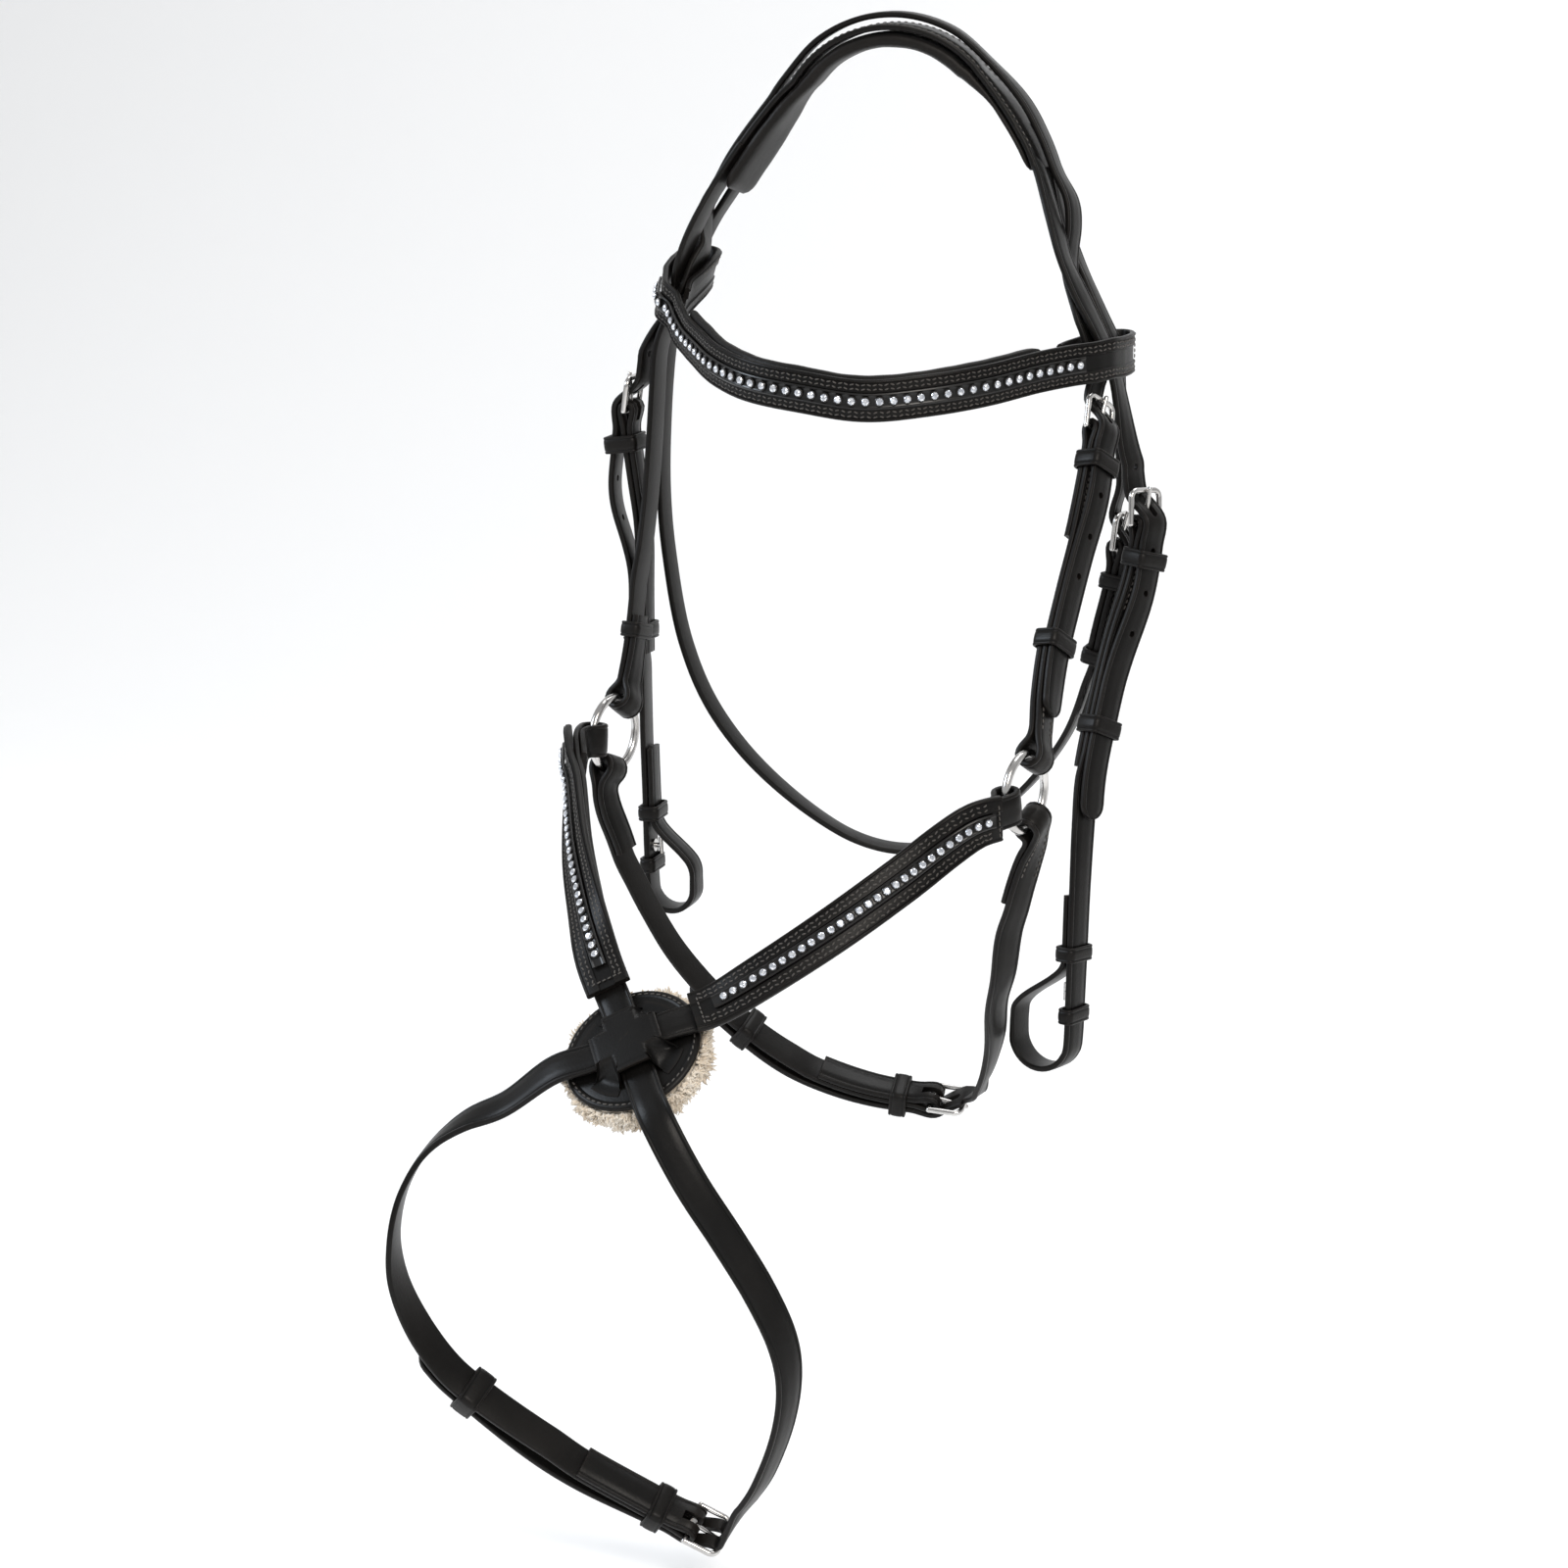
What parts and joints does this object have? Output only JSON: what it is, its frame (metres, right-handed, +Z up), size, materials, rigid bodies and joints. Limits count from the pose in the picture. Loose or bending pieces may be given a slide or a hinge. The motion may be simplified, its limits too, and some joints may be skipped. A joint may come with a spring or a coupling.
{
  "type": "snaffle bridle",
  "caption": "Black leather snaffle bridle with padded crown, curved crystal browband, crossed grackle noseband on side rings, throatlash and open bit loops.",
  "frame": {"origin": "centre of the crown bend that sits behind the horse's ears", "axes": "+X toward the near (left) side of the horse, -Y the way the horse faces, +Z up"},
  "size_m": [0.2992, 0.3647, 0.7369],
  "materials": {
    "strap_leather": "satin black bridle leather",
    "soft_leather": "soft black padded leather",
    "channel_leather": "gloss black lining of the crystal channel",
    "steel": "polished stainless steel",
    "crystal": "clear faceted crystals",
    "sheepskin": "cream sheepskin fleece"
  },
  "bodies": {
    "headstall": {"headpiece": "strap_leather", "headpiece_padding": "soft_leather", "noseband_headstrap": "strap_leather", "off_headstrap_keeper": "strap_leather", "browband": "strap_leather", "browband_padding": "soft_leather", "browband_crystal_channel": "channel_leather", "browband_crystals": "crystal", "near_noseband_cheek": "strap_leather", "near_noseband_buckle": "steel", "near_noseband_fixed_keeper": "strap_leather", "off_cheekpiece": "strap_leather", "off_cheek_buckle": "steel", "off_cheek_fixed_keeper": "strap_leather", "off_hook_stud": "steel", "off_bit_keepers": "strap_leather", "near_cheekpiece": "strap_leather", "near_cheek_buckle": "steel", "near_cheek_fixed_keeper": "strap_leather", "near_hook_stud": "steel", "near_bit_keepers": "strap_leather"},
    "off_side_ring": {"off_ring": "steel"},
    "near_side_ring": {"near_ring": "steel"},
    "noseband": {"off_nose_strap": "strap_leather", "near_nose_strap": "strap_leather", "off_nose_overlay": "strap_leather", "near_nose_overlay": "strap_leather", "off_nose_crystal_channel": "channel_leather", "near_nose_crystal_channel": "channel_leather", "off_nose_crystals": "crystal", "near_nose_crystals": "crystal", "rosette_disc": "strap_leather", "rosette_cap": "strap_leather", "sheepskin_pad": "sheepskin", "chin_buckle": "steel", "chin_fixed_keeper": "strap_leather"},
    "jowl_band": {"off_jowl_strap": "strap_leather", "near_jowl_strap": "strap_leather", "jowl_buckle": "steel", "jowl_fixed_keeper": "strap_leather"},
    "throatlash_band": {"near_throat_billet": "strap_leather", "throatlash": "strap_leather", "throatlash_buckle": "steel", "throatlash_fixed_keeper": "strap_leather"},
    "off_cheek_buckle_tongue_body": {"off_cheek_buckle_tongue": "steel"},
    "near_cheek_buckle_tongue_body": {"near_cheek_buckle_tongue": "steel"},
    "near_noseband_buckle_tongue_body": {"near_noseband_buckle_tongue": "steel"},
    "chin_buckle_tongue_body": {"chin_buckle_tongue": "steel"},
    "jowl_buckle_tongue_body": {"jowl_buckle_tongue": "steel"},
    "throatlash_buckle_tongue_body": {"throatlash_buckle_tongue": "steel"},
    "off_cheek_running_keeper_body": {"off_cheek_running_keeper": "strap_leather"},
    "near_cheek_running_keeper_body": {"near_cheek_running_keeper": "strap_leather"},
    "near_noseband_running_keeper_body": {"near_noseband_running_keeper": "strap_leather"},
    "chin_running_keeper_body": {"chin_running_keeper": "strap_leather"},
    "jowl_running_keeper_body": {"jowl_running_keeper": "strap_leather"},
    "throatlash_running_keeper_body": {"throatlash_running_keeper": "strap_leather"}
  },
  "joints": [
    {"name": "off_ring_turn", "type": "hinge", "parent": "headstall", "child": "off_side_ring", "pos_m": [-0.1179, -0.0932, -0.305], "axis": [0.9871, -0.1599, 0], "continuous": true},
    {"name": "near_ring_turn", "type": "hinge", "parent": "headstall", "child": "near_side_ring", "pos_m": [0.1269, -0.1328, -0.305], "axis": [0.9871, -0.1599, 0], "continuous": true},
    {"name": "noseband_swing", "type": "hinge", "parent": "headstall", "child": "noseband", "pos_m": [0.0045, -0.113, -0.305], "axis": [0.9871, -0.1599, 0], "range_deg": [-14, 3]},
    {"name": "jowl_strap_swing", "type": "hinge", "parent": "headstall", "child": "jowl_band", "pos_m": [0.0045, -0.113, -0.305], "axis": [0.9871, -0.1599, 0], "range_deg": [-3, 1]},
    {"name": "throatlash_swing", "type": "hinge", "parent": "headstall", "child": "throatlash_band", "pos_m": [0.00395, -0.0075, -0.0985], "axis": [0.9872, 0.1467, -0.0629], "range_deg": [-3, 12]},
    {"name": "off_cheek_buckle_tongue_lift", "type": "hinge", "parent": "headstall", "child": "off_cheek_buckle_tongue_body", "pos_m": [-0.12902, -0.04705, -0.13986], "axis": [0.0746, -0.9969, -0.025], "range_deg": [0, 8]},
    {"name": "near_cheek_buckle_tongue_lift", "type": "hinge", "parent": "headstall", "child": "near_cheek_buckle_tongue_body", "pos_m": [0.14241, -0.00408, -0.18973], "axis": [0.3974, 0.9131, -0.0911], "range_deg": [0, 8]},
    {"name": "near_noseband_buckle_tongue_lift", "type": "hinge", "parent": "headstall", "child": "near_noseband_buckle_tongue_body", "pos_m": [0.12452, -0.02818, -0.14031], "axis": [0.2977, 0.8476, -0.4393], "range_deg": [0, 8]},
    {"name": "chin_buckle_tongue_lift", "type": "hinge", "parent": "noseband", "child": "chin_buckle_tongue_body", "pos_m": [0.00784, -0.26752, -0.6575], "axis": [0.0168, 0.8504, 0.5259], "range_deg": [0, 8]},
    {"name": "jowl_buckle_tongue_lift", "type": "hinge", "parent": "jowl_band", "child": "jowl_buckle_tongue_body", "pos_m": [0.04562, -0.04672, -0.497], "axis": [-0.1094, 0.9269, 0.359], "range_deg": [0, 8]},
    {"name": "throatlash_buckle_tongue_lift", "type": "hinge", "parent": "throatlash_band", "child": "throatlash_buckle_tongue_body", "pos_m": [0.12191, 0.01361, -0.2058], "axis": [0, 0.9992, -0.0394], "range_deg": [0, 8]},
    {"name": "off_cheek_running_keeper_slide", "type": "slide", "parent": "headstall", "child": "off_cheek_running_keeper_body", "axis": [0.0267, -0.0566, -0.998], "range_m": [-0.004, 0.004]},
    {"name": "near_cheek_running_keeper_slide", "type": "slide", "parent": "headstall", "child": "near_cheek_running_keeper_body", "axis": [-0.0706, -0.3878, -0.919], "range_m": [-0.004, 0.004]},
    {"name": "near_noseband_running_keeper_slide", "type": "slide", "parent": "headstall", "child": "near_noseband_running_keeper_body", "axis": [0.0092, -0.5469, -0.8371], "range_m": [-0.004, 0.004]},
    {"name": "chin_running_keeper_slide", "type": "slide", "parent": "noseband", "child": "chin_running_keeper_body", "axis": [0.7606, 0.2409, -0.6028], "range_m": [-0.003, 0.003]},
    {"name": "jowl_running_keeper_slide", "type": "slide", "parent": "jowl_band", "child": "jowl_running_keeper_body", "axis": [0.7565, 0.2338, -0.6108], "range_m": [-0.003, 0.003]},
    {"name": "throatlash_running_keeper_slide", "type": "slide", "parent": "throatlash_band", "child": "throatlash_running_keeper_body", "axis": [0.2403, -0.0935, 0.9662], "range_m": [-0.004, 0.004]}
  ]
}
